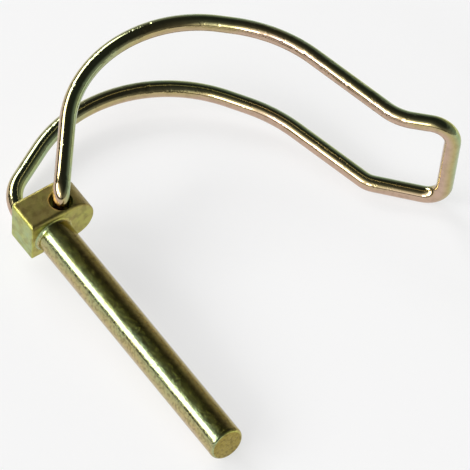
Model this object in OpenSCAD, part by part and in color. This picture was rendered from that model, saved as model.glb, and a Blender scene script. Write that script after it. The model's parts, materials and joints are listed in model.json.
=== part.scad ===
// Wire lock pin: a forged pin with a block head, held shut by a sprung wire bail that hinges in the head.
// The origin is the middle of the shoulder under the head, where the shank starts.

/* [Shank] */
// Diameter of the shank
shank_d = 8; // [6:0.5:10]
// Length of the shank under the head
shank_len = 65; // [55:1:68]
// Width of the bevel round the shank's tip
tip_bevel = 0.9; // [0.3:0.1:1.5]
// Lean of the sheared tip, in degrees from square
tip_lean = 6; // [0:1:12]

/* [Head] */
// Length of the head along the shank
head_len = 8.2; // [7:0.1:10]
// Height of the head between its two hinge faces
head_h = 11; // [10:0.5:13]
// From the shank's axis to the head's flat side
flat_side = 5.4; // [5.2:0.1:7]
// From the shank's axis to the top of the head's round side
round_side = 10.2; // [9:0.1:12]
// Radius of the head's rear edges
rear_edge_r = 1.6; // [0.5:0.1:2.5]

/* [Hinge hole] */
// Diameter of the hole through the head
hole_d = 5; // [4.6:0.1:5.4]
// From the shoulder back to the hole's axis
hole_back = 3.1; // [3:0.1:4]
// From the shank's axis across to the hole's axis
hole_side = 3.9; // [3:0.1:5]

/* [Bail] */
// Diameter of the spring wire
wire_d = 3.6; // [3:0.1:4]
// Gap between the wire and the head's hinge faces
face_gap = 0.5; // [0.3:0.1:1.5]
// Gap between the two wire ends inside the hole
end_gap = 2; // [1:0.5:4]
// Bend radius where the wire turns into the hole
root_r = 3.2; // [3:0.1:4]
// From the hinge to the closed end, along the bail
reach = 84; // [82:0.5:90]
// Spread of each leg away from the head, in degrees
leg_spread = 2.5; // [0:0.1:4]
// Bend radius of the closed end's corners
corner_r = 4.5; // [3.5:0.5:6]

/* [Upper leg] */
// From the hinge to the bend that starts the arch, along the bail
upper_rise_along = 13; // [11:0.5:15]
// From the hinge to the bend that starts the arch, across the bail
upper_rise_out = 47; // [45:0.5:50]
// Radius of the bend that starts the arch
upper_rise_r = 27; // [20:0.5:28]
// From the hinge to the bend that ends the arch, along the bail
upper_fall_along = 53; // [52:0.5:56]
// From the hinge to the bend that ends the arch, across the bail
upper_fall_out = 31; // [28:0.5:32]
// Radius of the bend that ends the arch
upper_fall_r = 34; // [20:0.5:36]
// From the closed end back to the kink, along the bail
upper_kink_back = 11.3; // [10:0.1:13]
// From the hinge to the kink, across the bail
upper_kink_out = 3.6; // [2:0.1:6]
// Bend radius of the kink
upper_kink_r = 12; // [5:0.5:14]
// From the hinge to the closed end's corner, across the bail on the pin's side
upper_end_in = 1.4; // [0:0.1:3]

/* [Lower leg] */
// How far the leg sets back behind the hinge, along the bail
set_back_along = 11.5; // [10.5:0.1:12.5]
// From the hinge to the bend of the set-back, across the bail
set_back_out = 8.9; // [8:0.1:10]
// Bend radius of the set-back
set_back_r = 9.5; // [8:0.5:10]
// From the hinge to the bend that starts the arch, along the bail
lower_rise_along = 18; // [16:0.5:19]
// From the hinge to the bend that starts the arch, across the bail
lower_rise_out = 45.5; // [44:0.5:48]
// Radius of the bend that starts the arch
lower_rise_r = 32; // [24:0.5:34]
// From the hinge to the bend that ends the arch, along the bail
lower_fall_along = 51; // [50:0.5:54]
// From the hinge to the bend that ends the arch, across the bail
lower_fall_out = 24.3; // [22:0.1:26]
// Radius of the bend that ends the arch
lower_fall_r = 34; // [20:0.5:40]
// From the closed end back to the kink, along the bail
lower_kink_back = 14.8; // [13:0.1:16]
// From the hinge to the kink, across the bail
lower_kink_out = 3.8; // [2:0.1:6]
// Bend radius of the kink
lower_kink_r = 5; // [4:0.5:12]
// From the hinge to the closed end's corner, across the bail on the pin's side
lower_end_in = 2.7; // [0:0.1:4]
// How much shorter the leg is than the upper one
lower_short = 2.5; // [0:0.5:4]

/* [Pose] */
// How far the bail is swung open from the shank, in degrees
open_angle = 67.5; // [0:0.5:180]
// Dip of the shank's tip as the part lies on a flat surface, in degrees
lie_dip = 4.4; // [0:0.1:10]
// Roll about the shank as the part lies on a flat surface, in degrees
lie_roll = 4.7; // [0:0.1:10]

/* [Hidden] */
$fn = 96;

// How far cuts run past the faces that they open
over = 1;
hinge = [-hole_back, hole_side, 0];
// Height of the wire's centre line over the head's middle, where it leaves the hole
root_z = head_h / 2 + face_gap + wire_d / 2;

// How much thicker the wire is through its bends, and how far each straight run reaches into them
bend_swell = 0.02;
bend_lap = 0.1;

// Bend points of the two legs in plan, from the hinge towards the closed end.
upper_plan = [
    [upper_rise_along, upper_rise_out],
    [upper_fall_along, upper_fall_out],
    [reach - upper_kink_back, upper_kink_out],
    [reach, -upper_end_in]
];
lower_plan = [
    [-set_back_along, set_back_out],
    [lower_rise_along, lower_rise_out],
    [lower_fall_along, lower_fall_out],
    [reach - lower_short - lower_kink_back, lower_kink_out],
    [reach - lower_short, -lower_end_in]
];
upper_radii = [upper_rise_r, upper_fall_r, upper_kink_r, corner_r];
lower_radii = [set_back_r, lower_rise_r, lower_fall_r, lower_kink_r, corner_r];

// A plan point lifted to its leg's height: from the hinge on, each leg spreads evenly along the reach.
function on_leg(p, side) = [p.x, p.y, side * (root_z + max(0, p.x) * tan(leg_spread))];
function reversed(list) = [for (i = [len(list) - 1 : -1 : 0]) list[i]];

// The whole wire as bend points, from the end in the top of the hole round to the end in its bottom.
wire_points = concat(
    [[0, 0, end_gap / 2], [0, 0, root_z]],
    [for (p = upper_plan) on_leg(p, 1)],
    [for (p = reversed(lower_plan)) on_leg(p, -1)],
    [[0, 0, -root_z], [0, 0, -end_gap / 2]]
);
wire_radii = concat([0, root_r], upper_radii, reversed(lower_radii), [root_r, 0]);

function unit(v) = v / norm(v);
function heading(points, i) = unit(points[i + 1] - points[i]);
// Angle that the wire turns through at bend point i, and the straight length that the bend takes up
function turn(points, i) = acos(heading(points, i - 1) * heading(points, i));
function take_up(points, radii, i) = radii[i] * tan(turn(points, i) / 2);

// Stands children that point along +Z in direction v.
module pointing(v) {
    rotate([0, acos(v.z / norm(v)), atan2(v.y, v.x)])
        children();
}

// Straight length at bend point i that a run leaves to the bend there; the wire's ends have no bend.
function left_to_bend(points, radii, i) = radii[i] == 0 ? 0 : take_up(points, radii, i) - bend_lap;

// One straight run of wire, from bend point i to the next.
module straight(points, radii, d, i) {
    along = heading(points, i);
    start = points[i] + along * left_to_bend(points, radii, i);
    end = points[i + 1] - along * left_to_bend(points, radii, i + 1);
    translate(start)
        pointing(along)
            cylinder(h = norm(end - start), d = d);
}

// One bend of wire at bend point i, as part of a ring.
module bend(points, radii, d, i) {
    before = heading(points, i - 1);
    after = heading(points, i);
    inward = unit(after - (after * before) * before);
    axle = cross(before, inward);
    centre = points[i] - before * take_up(points, radii, i) + inward * radii[i];
    multmatrix([
        [-inward.x, before.x, axle.x, centre.x],
        [-inward.y, before.y, axle.y, centre.y],
        [-inward.z, before.z, axle.z, centre.z],
        [0, 0, 0, 1]
    ])
        rotate_extrude(angle = turn(points, i))
            translate([radii[i], 0])
                circle(d = d + bend_swell);
}

// A wire of diameter d along straight runs between bend points, with a bend at each inner point.
module bent_wire(points, radii, d) {
    for (i = [0 : len(points) - 2])
        straight(points, radii, d, i);
    for (i = [1 : len(points) - 2])
        bend(points, radii, d, i);
}

// Lays children that stand square on the shank's axis as the loose part comes to rest.
module lying() {
    rotate([lie_roll, lie_dip, 0])
        children();
}

// Rectangle from the shoulder back along -X, between y = low and y = high, with round rear corners.
module round_backed(low, high) {
    translate([rear_edge_r - head_len, low])
        square([head_len - rear_edge_r, high - low]);
    translate([-head_len, low + rear_edge_r])
        square([head_len, high - low - 2 * rear_edge_r]);
    for (y = [low + rear_edge_r, high - rear_edge_r])
        translate([rear_edge_r - head_len, y])
            circle(r = rear_edge_r);
}

// Head seen along the shank: flat on one side and half round on the other.
module head_end() {
    round_r = head_h / 2;
    translate([-flat_side, -round_r])
        square([flat_side + round_side - round_r, head_h]);
    translate([round_side - round_r, 0])
        circle(r = round_r);
}

// Block head: its end shape run back from the shoulder, with rear edges rounded both ways.
module head_block() {
    span = flat_side + round_side;
    intersection() {
        translate([-head_len, 0, 0])
            rotate([90, 0, 90])
                linear_extrude(head_len)
                    head_end();
        translate([0, 0, -head_h / 2 - over])
            linear_extrude(head_h + 2 * over)
                round_backed(-flat_side, round_side);
        translate([0, span, 0])
            rotate([90, 0, 0])
                linear_extrude(2 * span)
                    round_backed(-head_h / 2, head_h / 2);
    }
}

// Shank with a sheared and bevelled tip, from inside the head to the tip.
module shank() {
    root = head_len / 2;
    cone_len = shank_len + root;
    end_r = shank_d / 2 - tip_bevel;
    intersection() {
        translate([-root, 0, 0])
            rotate([0, 90, 0])
                cylinder(h = cone_len + shank_d, d = shank_d);
        translate([shank_len, 0, 0])
            rotate([0, -90 - tip_lean, 0])
                cylinder(h = 2 * cone_len, r1 = end_r, r2 = end_r + 2 * cone_len);
    }
}

module pin() {
    color([0.74, 0.68, 0.42])
        lying()
            difference() {
                union() {
                    head_block();
                    shank();
                }
                translate(hinge - [0, 0, head_h / 2 + over])
                    cylinder(h = head_h + 2 * over, d = hole_d);
            }
}

module bail() {
    color([0.78, 0.72, 0.48])
        lying()
            translate(hinge)
                rotate([0, 0, open_angle])
                    bent_wire(wire_points, wire_radii, wire_d);
}

pin();
bail();
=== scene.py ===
# %% [markdown]
# # A wire lock pin
# A forged steel pin has a block head, and a bail of spring wire hinges in a hole through that head. Swung
# shut, the bail wraps round a tube and snaps over the pin's tip. Both pieces are plated with yellow zinc.
# The imported model holds the sizes and the hinge, so this lesson only gives the two pieces finer meshes and
# their finish. The first cell loads that model.

# %% Load the frame
import json
import math
import bmesh
import bpy
from mathutils import Matrix, Vector


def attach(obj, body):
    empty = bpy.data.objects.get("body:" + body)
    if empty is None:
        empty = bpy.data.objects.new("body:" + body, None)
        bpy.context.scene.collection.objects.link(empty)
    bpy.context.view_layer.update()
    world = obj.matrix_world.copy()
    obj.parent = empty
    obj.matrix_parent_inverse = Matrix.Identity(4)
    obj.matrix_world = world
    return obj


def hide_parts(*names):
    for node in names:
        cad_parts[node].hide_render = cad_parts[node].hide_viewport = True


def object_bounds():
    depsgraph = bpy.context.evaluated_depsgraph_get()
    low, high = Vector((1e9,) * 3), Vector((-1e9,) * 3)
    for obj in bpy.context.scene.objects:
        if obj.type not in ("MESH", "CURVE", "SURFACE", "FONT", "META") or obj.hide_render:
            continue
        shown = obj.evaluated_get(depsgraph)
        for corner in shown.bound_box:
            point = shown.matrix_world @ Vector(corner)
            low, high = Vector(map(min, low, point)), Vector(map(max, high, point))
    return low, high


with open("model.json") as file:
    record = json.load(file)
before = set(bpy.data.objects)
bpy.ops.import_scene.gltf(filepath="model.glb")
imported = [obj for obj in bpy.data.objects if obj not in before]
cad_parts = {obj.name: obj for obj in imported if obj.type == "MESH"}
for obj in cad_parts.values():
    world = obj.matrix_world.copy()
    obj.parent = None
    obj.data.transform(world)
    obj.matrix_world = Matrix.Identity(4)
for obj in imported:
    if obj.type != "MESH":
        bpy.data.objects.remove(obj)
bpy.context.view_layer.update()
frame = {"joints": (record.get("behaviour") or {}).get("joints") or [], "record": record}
MM = 0.001

# %% [markdown]
# ## The pin's own axes
# The part lies on the floor as it comes to rest, so the pin is tilted a few degrees. It is far easier to
# model it square, with X along the shank and Z along the hinge hole, and to tilt the finished mesh. The two
# directions are in the record: the shank's mount and the bail's hinge.

# %% Read the axes
shank_mount = next(m for m in frame["record"]["mounts"] if m["name"] == "shank")
swing = next(j for j in frame["joints"] if j["name"] == "bail_swing")
along_shank = Vector(shank_mount["axis"]).normalized()
along_hinge = Vector(swing["axis"]).normalized()
across = along_hinge.cross(along_shank)
tilt = Matrix((along_shank, across, along_hinge)).transposed()
lie = Matrix.Translation(shank_mount["pos_m"]) @ tilt.to_4x4()
hinge = lie.inverted() @ Vector(swing["pos_m"])
print("hinge in the pin's axes, mm:", [round(c / MM, 2) for c in hinge])

# %% [markdown]
# ## Helpers for solid pieces
# Two closed shapes are joined or cut with an exact boolean, because a drilled head has no simpler mesh.
# A finished piece is tilted into place, and then it takes over from the plain model's node.

# %% Boolean and finishing helpers
def temporary(bm):
    """Puts a bmesh on a short-lived object, so that modifiers can work on it."""
    mesh = bpy.data.meshes.new("temporary")
    bm.to_mesh(mesh)
    bm.free()
    obj = bpy.data.objects.new("temporary", mesh)
    bpy.context.scene.collection.objects.link(obj)
    return obj


def evaluated(obj, *others):
    """The object with its modifiers as a new bmesh. The short-lived objects are removed."""
    bm = bmesh.new()
    bm.from_object(obj, bpy.context.evaluated_depsgraph_get())
    for used in (obj, *others):
        mesh = used.data
        bpy.data.objects.remove(used)
        bpy.data.meshes.remove(mesh)
    return bm


def carve(bm, tool, operation):
    """UNION or DIFFERENCE of two closed shapes."""
    body, cutter = temporary(bm), temporary(tool)
    cut = body.modifiers.new("carve", "BOOLEAN")
    cut.operation = operation
    cut.solver = "EXACT"
    cut.object = cutter
    return evaluated(body, cutter)


# Direction in the pin's axes whose side is painted olive and brown gold, with the opposite side painted
# pink: a painted reflection of the dark ceiling and the pale floor
PAINTED_REFLECTION_SIDE = Vector((0, 0.92, 0.39))
# Faces above this area take one even share of the painted reflection each, so the head's flats don't shade
# towards their edges
LARGE_FACE = 2 * MM * MM
MERGE_DIST = 0.001 * MM
SHARP_DEG = 40


def lay_painted_reflection(mesh):
    """Share from 0 to 1 on each face corner that sets the film colour by which way the face points, as a
    painted reflection: most on the side towards the back wall and ceiling, least on the side towards the
    floor.
    """
    side = (tilt @ PAINTED_REFLECTION_SIDE).normalized()
    painted_reflection_share = mesh.attributes.new("painted_reflection_share", "FLOAT", "CORNER")
    for face in mesh.polygons:
        for corner in face.loop_indices:
            vert = mesh.vertices[mesh.loops[corner].vertex_index]
            # Painted reflection: the share follows which way the face points
            facing = face.normal if face.area > LARGE_FACE else vert.normal
            painted_reflection_share.data[corner].value = 0.5 + 0.5 * facing.dot(side)


def settle(bm, name, body, node):
    """Tilts a shape into place as a smooth piece that rides on its body and replaces its node."""
    bmesh.ops.remove_doubles(bm, verts=bm.verts[:], dist=MERGE_DIST)
    bmesh.ops.recalc_face_normals(bm, faces=bm.faces[:])
    bmesh.ops.transform(bm, matrix=lie, verts=bm.verts[:])
    for face in bm.faces:
        face.smooth = True
    mesh = bpy.data.meshes.new(name)
    bm.to_mesh(mesh)
    bm.free()
    mesh.set_sharp_from_angle(angle=math.radians(SHARP_DEG))
    lay_painted_reflection(mesh)
    obj = bpy.data.objects.new(name, mesh)
    bpy.context.scene.collection.objects.link(obj)
    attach(obj, body)
    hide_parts(node)
    print(name, "has", len(mesh.polygons), "faces")
    return obj

# %% [markdown]
# ## The head
# The head is a forged block, flat on one side and half round on the other. Its end outline starts as three
# corners, a spin draws the round side, and one extrusion gives the depth. A forging has no sharp edge, but
# its edges aren't alike either: each has a bevel weight, and the Bevel modifier rounds them all together.

# %% Head outline and block
HEAD_LEN = 8.2 * MM
HEAD_H = 11 * MM
FLAT_SIDE = 5.4 * MM
ROUND_SIDE = 10.2 * MM
SOFT_EDGE = 1.6 * MM
EDGE_STEPS = 6
ARC_STEPS = 32
# Shares of SOFT_EDGE on the crisp edges, the rear edges and the flat side's long edges
CRISP_SHARE = 0.25
REAR_SHARE = 0.8
FLAT_SHARE = 0.75
# The shoulder's soft edge fades to a crisp one over this angle round the round side
FADE_DEG = 60
NEAR = 0.1 * MM
round_r = HEAD_H / 2
round_y = ROUND_SIDE - round_r


def shoulder_weight(mid):
    """Share of SOFT_EDGE on the shoulder's outline: soft above and below, crisp at both sides."""
    if mid.y < round_y:
        return 1.0 if abs(mid.z) > round_r - NEAR else CRISP_SHARE
    off_top = math.degrees(math.atan2(mid.y - round_y, abs(mid.z)))
    return max(CRISP_SHARE, 1 - off_top / FADE_DEG)


def head_block():
    bm = bmesh.new()
    low = bm.verts.new((0, -FLAT_SIDE, -round_r))
    start = bm.verts.new((0, round_y, -round_r))
    high = bm.verts.new((0, -FLAT_SIDE, round_r))
    bm.edges.new((low, start))
    arc = bmesh.ops.spin(bm, geom=[start], cent=(0, round_y, 0), axis=(1, 0, 0), angle=math.pi,
                         steps=ARC_STEPS)
    end = next(v for v in arc["geom_last"] if isinstance(v, bmesh.types.BMVert))
    bm.edges.new((end, high))
    bm.edges.new((high, low))
    face = bmesh.ops.contextual_create(bm, geom=bm.edges[:])["faces"][0]
    back = bmesh.ops.extrude_face_region(bm, geom=[face])["geom"]
    back_verts = [v for v in back if isinstance(v, bmesh.types.BMVert)]
    bmesh.ops.translate(bm, vec=(-HEAD_LEN, 0, 0), verts=back_verts)
    bmesh.ops.recalc_face_normals(bm, faces=bm.faces[:])
    weight = bm.edges.layers.float.new("bevel_weight_edge")
    for edge in bm.edges:
        mid = (edge.verts[0].co + edge.verts[1].co) / 2
        if mid.x > -NEAR:
            edge[weight] = shoulder_weight(mid)
        elif mid.x < NEAR - HEAD_LEN:
            edge[weight] = REAR_SHARE
        elif mid.y < NEAR - FLAT_SIDE:
            edge[weight] = FLAT_SHARE
    block = temporary(bm)
    rounding = block.modifiers.new("rounding", "BEVEL")
    rounding.limit_method = "WEIGHT"
    rounding.width = SOFT_EDGE
    rounding.segments = EDGE_STEPS
    rounding.profile = 0.5
    return evaluated(block)


head = head_block()
print("head block:", len(head.faces), "faces")

# %% [markdown]
# ## The shank and the hole
# Both are turned shapes, so each is a half profile spun about its axis. The shank's profile starts inside
# the head, flares into a small root fillet and ends in a rounded rim. The rod was sheared to length, so the
# tip leans a little. The cutter for the hole flares at both mouths, which rounds the rim in the same cut.

# %% Turned shapes
SHANK_R = shank_mount["dims"]["r_mm"] * MM
SHANK_LEN = 65 * MM
TIP_R = 0.9 * MM
TIP_LEAN = math.radians(6)
ROOT_FILLET = 0.7 * MM
HOLE_R = 2.5 * MM
RIM_R = 0.35 * MM
FILLET_STEPS = 8
RIM_STEPS = 6
TURN_STEPS = 128


def arc_points(centre, radius, start_deg, end_deg, steps):
    """Points of an arc in a half profile, as (along, out)."""
    turn = (end_deg - start_deg) / steps
    angles = [math.radians(start_deg + turn * k) for k in range(steps + 1)]
    return [(centre[0] + radius * math.cos(a), centre[1] + radius * math.sin(a)) for a in angles]


def turned(profile, to_axes):
    """Spins a half profile of (along, out) points about X, then turns it with to_axes."""
    bm = bmesh.new()
    verts = [bm.verts.new((along, 0, out)) for along, out in profile]
    edges = [bm.edges.new(pair) for pair in zip(verts, verts[1:])]
    bmesh.ops.spin(bm, geom=verts + edges, cent=(0, 0, 0), axis=(1, 0, 0), angle=2 * math.pi,
                   steps=TURN_STEPS, use_merge=True)
    bmesh.ops.remove_doubles(bm, verts=bm.verts[:], dist=MERGE_DIST)
    bmesh.ops.recalc_face_normals(bm, faces=bm.faces[:])
    bmesh.ops.transform(bm, matrix=to_axes, verts=bm.verts[:])
    return bm


def shank():
    root = (-HEAD_LEN / 2, SHANK_R)
    flare = arc_points((ROOT_FILLET, SHANK_R + ROOT_FILLET), ROOT_FILLET, 185, 270, FILLET_STEPS)
    rim = arc_points((SHANK_LEN - TIP_R, SHANK_R - TIP_R), TIP_R, 90, 0, FILLET_STEPS)
    inside = (flare[0][0] - ROOT_FILLET, flare[0][1])
    bm = turned([(root[0], 0), root, inside, *flare, *rim, (SHANK_LEN, 0)], Matrix.Identity(4))
    for vert in bm.verts:
        share = max(0, 1 - (SHANK_LEN - vert.co.x) / (2 * SHANK_R))
        vert.co.x -= vert.co.z * math.tan(TIP_LEAN) * share
    return bm


def hole_cutter():
    reach = HEAD_H / 2
    mouth = arc_points((reach - RIM_R, HOLE_R + RIM_R), RIM_R, 270, 360, RIM_STEPS)
    upper = [*mouth, (2 * reach, HOLE_R + RIM_R), (2 * reach, 0)]
    lower = [(-along, out) for along, out in reversed(upper)]
    upright = Matrix.Translation((hinge.x, hinge.y, 0)) @ Matrix.Rotation(math.radians(90), 4, "Y")
    return turned(lower + upper, upright)


pin_shape = carve(carve(head, shank(), "UNION"), hole_cutter(), "DIFFERENCE")
pin = settle(pin_shape, "forged_pin", "pin", "pin")
pin.modifiers.new("flat_faces", "WEIGHTED_NORMAL").keep_sharp = True

# %% [markdown]
# ## The wire bail
# The bail is one length of wire, bent in a jig. A ring of points follows the same moves as the wire did: an
# extrusion for each straight run and a spin for each bend. The bend points are in the bail's own axes, with
# X from the hinge towards the closed end, and each leg spreads a little away from the head.

# %% Bend points of the wire
WIRE_D = 3.6 * MM
FACE_GAP = 0.5 * MM
END_GAP = 2 * MM
LEG_SPREAD = math.radians(2.5)
OPEN_ANGLE = math.radians(67.5)
root_z = HEAD_H / 2 + FACE_GAP + WIRE_D / 2

# Each bend point of a leg in plan: along, across and bend radius, all in millimetres
REACH = 84
LOWER_REACH = REACH - 2.5
CORNER_R = 4.5
ROOT_R = 3.2
UPPER_LEG = [(13, 47, 27), (53, 31, 34), (REACH - 11.3, 3.6, 12), (REACH, -1.4, CORNER_R)]
LOWER_LEG = [(-11.5, 8.9, 9.5), (18, 45.5, 32), (51, 24.3, 34), (LOWER_REACH - 14.8, 3.8, 5),
             (LOWER_REACH, -2.7, CORNER_R)]


def on_leg(plan, side):
    """A plan point of one leg in space, with its bend radius."""
    along, out, radius = (value * MM for value in plan)
    return Vector((along, out, side * (root_z + max(0, along) * math.tan(LEG_SPREAD)))), radius


def wire_route():
    """Bend points and radii, from the wire end in the top of the hole round to the one in its bottom."""
    top = [(Vector((0, 0, END_GAP / 2)), 0), (Vector((0, 0, root_z)), ROOT_R * MM)]
    bottom = [(Vector((0, 0, -root_z)), ROOT_R * MM), (Vector((0, 0, -END_GAP / 2)), 0)]
    legs = [on_leg(p, 1) for p in UPPER_LEG] + [on_leg(p, -1) for p in reversed(LOWER_LEG)]
    return top + legs + bottom


route = wire_route()
print("bends in the wire:", len(route) - 2)

# %% Draw the wire through its bends
WIRE_SIDES = 40
RING_STEP = 0.7 * MM
LEAST_BEND_STEPS = 6


def bend_at(route, i):
    """Where bend i starts, its centre, its axle and the angle that it turns."""
    (before, _), (here, radius), (after, _) = route[i - 1:i + 2]
    heading, leaving = (here - before).normalized(), (after - here).normalized()
    angle = heading.angle(leaving)
    axle = heading.cross(leaving).normalized()
    start = here - heading * radius * math.tan(angle / 2)
    return start, start + axle.cross(heading) * radius, axle, angle


def ring_of(geom):
    return [g for g in geom if isinstance(g, (bmesh.types.BMVert, bmesh.types.BMEdge))]


def middle(ring):
    verts = [g.co for g in ring if isinstance(g, bmesh.types.BMVert)]
    return sum(verts, Vector()) / len(verts)


def run_to(bm, ring, goal):
    """Extrudes the ring straight on to its goal, in even steps."""
    move = goal - middle(ring)
    steps = max(1, round(move.length / RING_STEP))
    for _ in range(steps):
        edges = [g for g in ring if isinstance(g, bmesh.types.BMEdge)]
        ring = ring_of(bmesh.ops.extrude_edge_only(bm, edges=edges)["geom"])
        ring = [g for g in ring if isinstance(g, bmesh.types.BMVert) or len(g.link_faces) == 1]
        verts = [g for g in ring if isinstance(g, bmesh.types.BMVert)]
        bmesh.ops.translate(bm, vec=move / steps, verts=verts)
    return ring


def bent_wire(route):
    bm = bmesh.new()
    first = bmesh.ops.create_circle(bm, radius=WIRE_D / 2, segments=WIRE_SIDES,
                                    matrix=Matrix.Translation(route[0][0]))
    ring = first["verts"] + bm.edges[:]
    bmesh.ops.edgeloop_fill(bm, edges=bm.edges[:])
    for i in range(1, len(route) - 1):
        start, centre, axle, angle = bend_at(route, i)
        ring = run_to(bm, ring, start)
        steps = max(LEAST_BEND_STEPS, round(route[i][1] * angle / RING_STEP))
        spun = bmesh.ops.spin(bm, geom=ring, cent=centre, axis=axle, angle=angle, steps=steps)
        ring = ring_of(spun["geom_last"])
    ring = run_to(bm, ring, route[-1][0])
    bmesh.ops.edgeloop_fill(bm, edges=[g for g in ring if isinstance(g, bmesh.types.BMEdge)])
    print("wire ends, mm:", [round(c / MM, 3) for c in middle(ring)])
    return bm


wire = bent_wire(route)
swung_open = Matrix.Translation(hinge) @ Matrix.Rotation(OPEN_ANGLE, 4, "Z")
bmesh.ops.transform(wire, matrix=swung_open, verts=wire.verts[:])
bail = settle(wire, "wire_bail", "bail", "bail")

# %% [markdown]
# ## The plating
# Yellow zinc is a thin glossy film over bright metal, and its colour follows the film's thickness: pink
# where it is thin, then straw, green and brown gold. On top of that, the colour is set by which way a face
# points, as a painted reflection: the side towards the floor is painted pink, and the side towards the back
# wall and ceiling is painted olive and brown gold. That share by side is kept on the mesh as an attribute,
# and noise makes it wander. One node group turns it into colour, gloss and a height for pits, and each
# material sets its own values.

# %% Node helpers
def link_all(tree, *pairs):
    for source, target in pairs:
        tree.links.new(source, target)


def add(tree, kind, **inputs):
    """A node with plain values on its named inputs."""
    node = tree.nodes.new(kind)
    for name, value in inputs.items():
        node.inputs[name.replace("_", " ")].default_value = value
    return node


def give(tree, value, target):
    """Links another node's output to an input, or sets a plain value on it."""
    if isinstance(value, bpy.types.NodeSocket):
        tree.links.new(value, target)
    else:
        target.default_value = value


def maths(tree, operation, a, b):
    """A Math node. Each side is a socket or a number."""
    node = tree.nodes.new("ShaderNodeMath")
    node.operation = operation
    give(tree, a, node.inputs[0])
    give(tree, b, node.inputs[1])
    return node.outputs[0]


def mix_colour(tree, factor, a, b):
    """A colour Mix node. Each side is a socket or a colour."""
    node = tree.nodes.new("ShaderNodeMix")
    node.data_type = "RGBA"
    give(tree, factor, node.inputs[0])
    give(tree, a, node.inputs[6])
    give(tree, b, node.inputs[7])
    return node.outputs[2]


def spread(tree, value, low, high):
    """Stretches the band from low to high of a value to 0 and 1."""
    node = add(tree, "ShaderNodeMapRange", From_Min=low, From_Max=high)
    node.interpolation_type = "SMOOTHSTEP"
    link_all(tree, (value, node.inputs["Value"]))
    return node.outputs["Result"]


# %% Bloom of the plating
FILM_COLOURS = [(0.0, (0.56, 0.40, 0.30)), (0.2, (0.50, 0.41, 0.19)), (0.48, (0.35, 0.45, 0.24)),
                (0.68, (0.54, 0.54, 0.13)), (0.85, (0.46, 0.37, 0.12)), (1.0, (0.36, 0.28, 0.06))]
SCALE_COLOUR = (0.13, 0.09, 0.03, 1)
# Bands of the noise that count as forging scale and as pits
SCALE_BAND = (0.45, 0.65)
PIT_BAND = (0.34, 0.5)
GLOSS_SCALE = 1500.0


def noise(tree, place, scale, detail):
    node = add(tree, "ShaderNodeTexNoise", Detail=detail, Roughness=0.55)
    give(tree, place, node.inputs["Vector"])
    give(tree, scale, node.inputs["Scale"])
    return node.outputs[0]


def plating_bloom():
    tree = bpy.data.node_groups.new("plating_bloom", "ShaderNodeTree")
    for name in ("Film Low", "Film High", "Cloud Scale", "Wander", "Mottle Scale", "Mottle", "Gloss Low",
                 "Gloss High", "Pit Scale"):
        tree.interface.new_socket(name, in_out="INPUT", socket_type="NodeSocketFloat")
    tree.interface.new_socket("Color", in_out="OUTPUT", socket_type="NodeSocketColor")
    for name in ("Roughness", "Height"):
        tree.interface.new_socket(name, in_out="OUTPUT", socket_type="NodeSocketFloat")
    given = tree.nodes.new("NodeGroupInput").outputs
    out = tree.nodes.new("NodeGroupOutput").inputs
    place = tree.nodes.new("ShaderNodeTexCoord").outputs["Object"]
    # Reads the painted reflection share by side, which the ramp turns into film colours
    painted_reflection_share = tree.nodes.new("ShaderNodeAttribute")
    painted_reflection_share.attribute_name = "painted_reflection_share"
    cloud = maths(tree, "SUBTRACT", noise(tree, place, given["Cloud Scale"], 3.0), 0.5)
    share = tree.nodes.new("ShaderNodeMapRange")
    link_all(tree, (painted_reflection_share.outputs["Fac"], share.inputs["Value"]),
             (given["Film Low"], share.inputs["To Min"]), (given["Film High"], share.inputs["To Max"]))
    thickness = maths(tree, "ADD", share.outputs[0], maths(tree, "MULTIPLY", cloud, given["Wander"]))
    ramp = tree.nodes.new("ShaderNodeValToRGB")
    stops = ramp.color_ramp.elements
    while len(stops) < len(FILM_COLOURS):
        stops.new(0.5)
    for stop, (position, colour) in zip(stops, FILM_COLOURS):
        stop.position = position
        stop.color = (*colour, 1)
    link_all(tree, (thickness, ramp.inputs["Fac"]))
    scale_mark = spread(tree, noise(tree, place, given["Mottle Scale"], 5.0), *SCALE_BAND)
    scale_mark = maths(tree, "MULTIPLY", scale_mark, given["Mottle"])
    link_all(tree, (mix_colour(tree, scale_mark, ramp.outputs["Color"], SCALE_COLOUR), out["Color"]))
    gloss = tree.nodes.new("ShaderNodeMapRange")
    link_all(tree, (noise(tree, place, GLOSS_SCALE, 3.0), gloss.inputs["Value"]),
             (given["Gloss Low"], gloss.inputs["To Min"]), (given["Gloss High"], gloss.inputs["To Max"]),
             (gloss.outputs[0], out["Roughness"]))
    pits = spread(tree, noise(tree, place, given["Pit Scale"], 4.0), *PIT_BAND)
    link_all(tree, (pits, out["Height"]))
    return tree


bloom_group = plating_bloom()


def plated(name, relief, **values):
    """One plated finish: the bloom with its own values on bright metal, with pits of relief mm."""
    material = bpy.data.materials.new(name)
    material.use_nodes = True
    tree = material.node_tree
    shader = tree.nodes["Principled BSDF"]
    shader.inputs["Metallic"].default_value = 1.0
    bloom = tree.nodes.new("ShaderNodeGroup")
    bloom.node_tree = bloom_group
    for key, value in values.items():
        bloom.inputs[key.replace("_", " ")].default_value = value
    bump = add(tree, "ShaderNodeBump", Strength=1.0, Distance=relief * MM)
    link_all(tree, (bloom.outputs["Color"], shader.inputs["Base Color"]),
             (bloom.outputs["Roughness"], shader.inputs["Roughness"]),
             (bloom.outputs["Height"], bump.inputs["Height"]),
             (bump.outputs["Normal"], shader.inputs["Normal"]))
    return material
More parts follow.
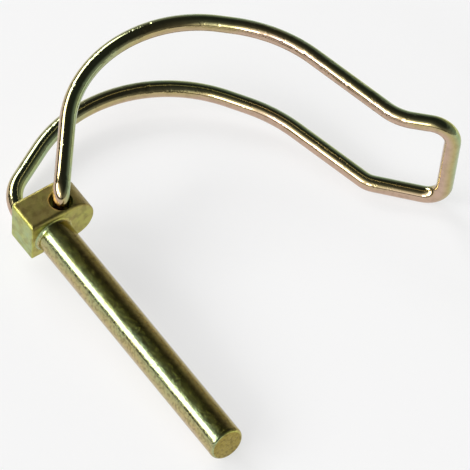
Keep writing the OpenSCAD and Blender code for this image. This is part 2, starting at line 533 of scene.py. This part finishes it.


# %% Four finishes
# Film Low and Film High stretch each finish's painted reflection share by side over the film colours
forged_zinc = plated("forged_zinc", 0.015, Film_Low=0.57, Film_High=0.93, Cloud_Scale=330.0, Wander=0.3,
                     Mottle_Scale=600.0, Mottle=0.35, Gloss_Low=0.3, Gloss_High=0.5, Pit_Scale=900.0)
rolled_zinc = plated("rolled_zinc", 0.01, Film_Low=0.12, Film_High=1.0, Cloud_Scale=140.0, Wander=0.3,
                     Mottle_Scale=1700.0, Mottle=0.45, Gloss_Low=0.06, Gloss_High=0.16, Pit_Scale=3000.0)
sheared_zinc = plated("sheared_zinc", 0.02, Film_Low=0.92, Film_High=1.0, Cloud_Scale=500.0, Wander=0.2,
                      Mottle_Scale=1500.0, Mottle=0.5, Gloss_Low=0.2, Gloss_High=0.4, Pit_Scale=2000.0)
drawn_zinc = plated("drawn_zinc", 0.04, Film_Low=-0.14, Film_High=0.62, Cloud_Scale=50.0, Wander=0.6,
                    Mottle_Scale=700.0, Mottle=0.15, Gloss_Low=0.05, Gloss_High=0.14, Pit_Scale=250.0)
to_pin_axes = lie.inverted()


def finish_index(face):
    """0 on the forged head, 1 on the rolled shank and 2 on the sheared end."""
    along = (to_pin_axes @ face.center).x
    if along < 0.01 * MM:
        return 0
    faces_tip = (to_pin_axes.to_3x3() @ face.normal).x > 0.9
    return 2 if faces_tip and along > SHANK_LEN / 2 else 1


for finish in (forged_zinc, rolled_zinc, sheared_zinc):
    pin.data.materials.append(finish)
for face in pin.data.polygons:
    face.material_index = finish_index(face)
bail.data.materials.append(drawn_zinc)
print("finishes:", [m.name for m in (forged_zinc, rolled_zinc, sheared_zinc, drawn_zinc)])

# %% [markdown]
# ## Floor, light and camera
# Polished metal shows its surroundings, so they do most of the work. The floor is pale, three windows give
# the white lines along shank and wire, and the dark ceiling draws the black ones beside them. The room is
# in the world's own nodes, as a few soft patches by direction, so it needs no lamps.

# %% Floor
floor_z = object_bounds()[0].z
FLOOR_HALF = 3.0
PAPER_COLOUR = (0.93, 0.93, 0.93, 1)
# Share of plain white that the floor shows to the eye and in reflections, which keeps its shadow soft
WHITE_LIFT = 0.65
floor_shape = bmesh.new()
bmesh.ops.create_grid(floor_shape, x_segments=1, y_segments=1, size=FLOOR_HALF)
bmesh.ops.translate(floor_shape, vec=(0, 0, floor_z), verts=floor_shape.verts[:])
floor_mesh = bpy.data.meshes.new("floor")
floor_shape.to_mesh(floor_mesh)
floor_shape.free()
floor = bpy.data.objects.new("floor", floor_mesh)
bpy.context.scene.collection.objects.link(floor)
paper = bpy.data.materials.new("floor_paper")
paper.use_nodes = True
tree = paper.node_tree
matt = tree.nodes["Principled BSDF"]
matt.inputs["Base Color"].default_value = PAPER_COLOUR
matt.inputs["Roughness"].default_value = 0.9
glow = add(tree, "ShaderNodeEmission", Strength=1.0)
sight = tree.nodes.new("ShaderNodeLightPath").outputs
seen = maths(tree, "MAXIMUM", sight["Is Camera Ray"], sight["Is Glossy Ray"])
seen = maths(tree, "MAXIMUM", seen, sight["Is Transmission Ray"])
lifted = tree.nodes.new("ShaderNodeMixShader")
give(tree, maths(tree, "MULTIPLY", seen, WHITE_LIFT), lifted.inputs[0])
link_all(tree, (matt.outputs[0], lifted.inputs[1]), (glow.outputs[0], lifted.inputs[2]),
         (lifted.outputs[0], tree.nodes["Material Output"].inputs["Surface"]))
floor_mesh.materials.append(paper)

# %% Room
# Levels of light, with 1 as white
BACK_WALL = 0.33
CEILING = 0.03
LEFT_WALL = 0.14
LEFT_GLOW = 1.5
LEFT_DADO = 0.05
# Azimuth, half width in degrees and level of each window, seen from the pin
WINDOWS = [(-110, 25, 8.0), (-62, 6, 8.0), (182, 18, 8.0)]
JAMB_BLUR = 0.03
world = bpy.data.worlds.new("room")
bpy.context.scene.world = world
world.use_nodes = True
room = world.node_tree
towards = room.nodes.new("ShaderNodeTexCoord").outputs["Generated"]


def grey(level):
    return (level, level, level, 1)


def share_of(direction):
    """How far a ray points in a direction of the pin's axes, from -1 to 1."""
    dot = room.nodes.new("ShaderNodeVectorMath")
    dot.operation = "DOT_PRODUCT"
    dot.inputs[1].default_value = tilt @ Vector(direction)
    link_all(room, (towards, dot.inputs[0]))
    return dot.outputs["Value"]


def lay_over(light, level, *masks):
    """Puts an even level of light over what is there, where all the masks are 1."""
    where = masks[0]
    for mask in masks[1:]:
        where = maths(room, "MULTIPLY", where, mask)
    return mix_colour(room, where, light, grey(level))


up = share_of((0, 0, 1))
left = share_of((0, -1, 0))
light = lay_over(grey(BACK_WALL), CEILING, spread(room, up, 0.1, 0.72))
light = lay_over(light, LEFT_WALL, spread(room, left, -0.2, 0.7))
light = lay_over(light, LEFT_GLOW, spread(room, left, 0.36, 0.8))
light = lay_over(light, LEFT_DADO, spread(room, left, 0.0, 0.4), spread(room, up, 0.32, 0.2))
above_sill = spread(room, up, 0.31, 0.36)
below_lintel = spread(room, up, 0.64, 0.58)
for azimuth, half_width, level in WINDOWS:
    turn = math.radians(azimuth)
    facing = spread(room, share_of((math.cos(turn), math.sin(turn), 0)), 0.0, 0.2)
    aside = maths(room, "ABSOLUTE", share_of((-math.sin(turn), math.cos(turn), 0)), 0)
    jamb = math.sin(math.radians(half_width))
    between_jambs = spread(room, aside, jamb + JAMB_BLUR, jamb - JAMB_BLUR)
    light = lay_over(light, level, facing, between_jambs, above_sill, below_lintel)
link_all(room, (light, room.nodes["Background"].inputs["Color"]))

# %% Camera
# The picture's right and down in the pin's axes
VIEW_RIGHT = Vector((0.561, 0.8276, 0.0176))
VIEW_DOWN = Vector((0.677, -0.4458, -0.586))
VIEW_AWAY = VIEW_RIGHT.cross(VIEW_DOWN).normalized()
PHOTO_PX = 470
FOCAL_PX = 20000
PX_PER_MM = 4.775
ORIGIN_PX = (53.5, 233.8)
SENSOR_MM = 36
CLIP_END = 20
camera_data = bpy.data.cameras.new("camera")
camera_data.sensor_width = SENSOR_MM
camera_data.lens = FOCAL_PX / PHOTO_PX * camera_data.sensor_width
camera_data.clip_end = CLIP_END
camera = bpy.data.objects.new("camera", camera_data)
bpy.context.scene.collection.objects.link(camera)
bpy.context.scene.camera = camera
view_down = VIEW_AWAY.cross(VIEW_RIGHT).normalized()
off_right = (PHOTO_PX / 2 - ORIGIN_PX[0]) / PX_PER_MM * MM
off_down = (PHOTO_PX / 2 - ORIGIN_PX[1]) / PX_PER_MM * MM
off_back = FOCAL_PX / PX_PER_MM * MM
view_right = VIEW_RIGHT.normalized()
stand = view_right * off_right + view_down * off_down - VIEW_AWAY * off_back
aim = Matrix((view_right, -view_down, -VIEW_AWAY)).transposed().to_4x4()
camera.matrix_world = lie @ Matrix.Translation(stand) @ aim
bpy.context.scene.view_settings.view_transform = "Standard"
print("camera at, mm:", [round(c / MM, 1) for c in camera.matrix_world.translation])
